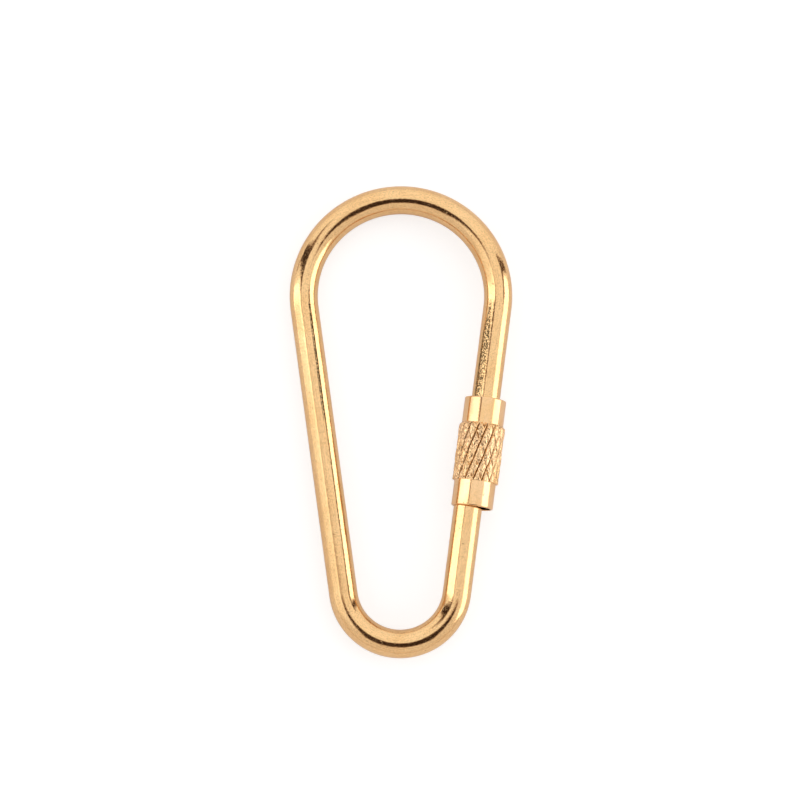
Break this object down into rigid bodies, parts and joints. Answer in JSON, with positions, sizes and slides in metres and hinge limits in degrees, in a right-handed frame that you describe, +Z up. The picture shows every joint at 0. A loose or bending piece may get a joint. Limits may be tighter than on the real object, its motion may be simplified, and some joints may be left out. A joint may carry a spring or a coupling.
{
  "type": "screw-lock carabiner keyring",
  "caption": "Pear-shaped key carabiner bent from round brass rod, closed by a knurled sleeve nut that unscrews and slides down the limb to open the gate.",
  "frame": {"origin": "middle of the footprint of the loop lying flat, level with the lowest point of the knurl", "axes": "+Y from the small bow to the big bow, +X to the gate side, +Z up out of the loop's plane"},
  "size_m": [0.0312, 0.0662, 0.0065],
  "materials": {
    "rod_brass": "polished drawn rod with fine lengthwise drawing lines and small pits",
    "sleeve_brass": "turned and polished, with a diamond knurl"
  },
  "bodies": {
    "loop": {"bent_rod": "rod_brass"},
    "sleeve": {"sleeve_nut": "sleeve_brass"}
  },
  "joints": [
    {"name": "sleeve_slide", "type": "slide", "parent": "loop", "child": "sleeve", "axis": [-0.133, -0.9911, 0], "range_m": [0, 0.0097]}
  ]
}
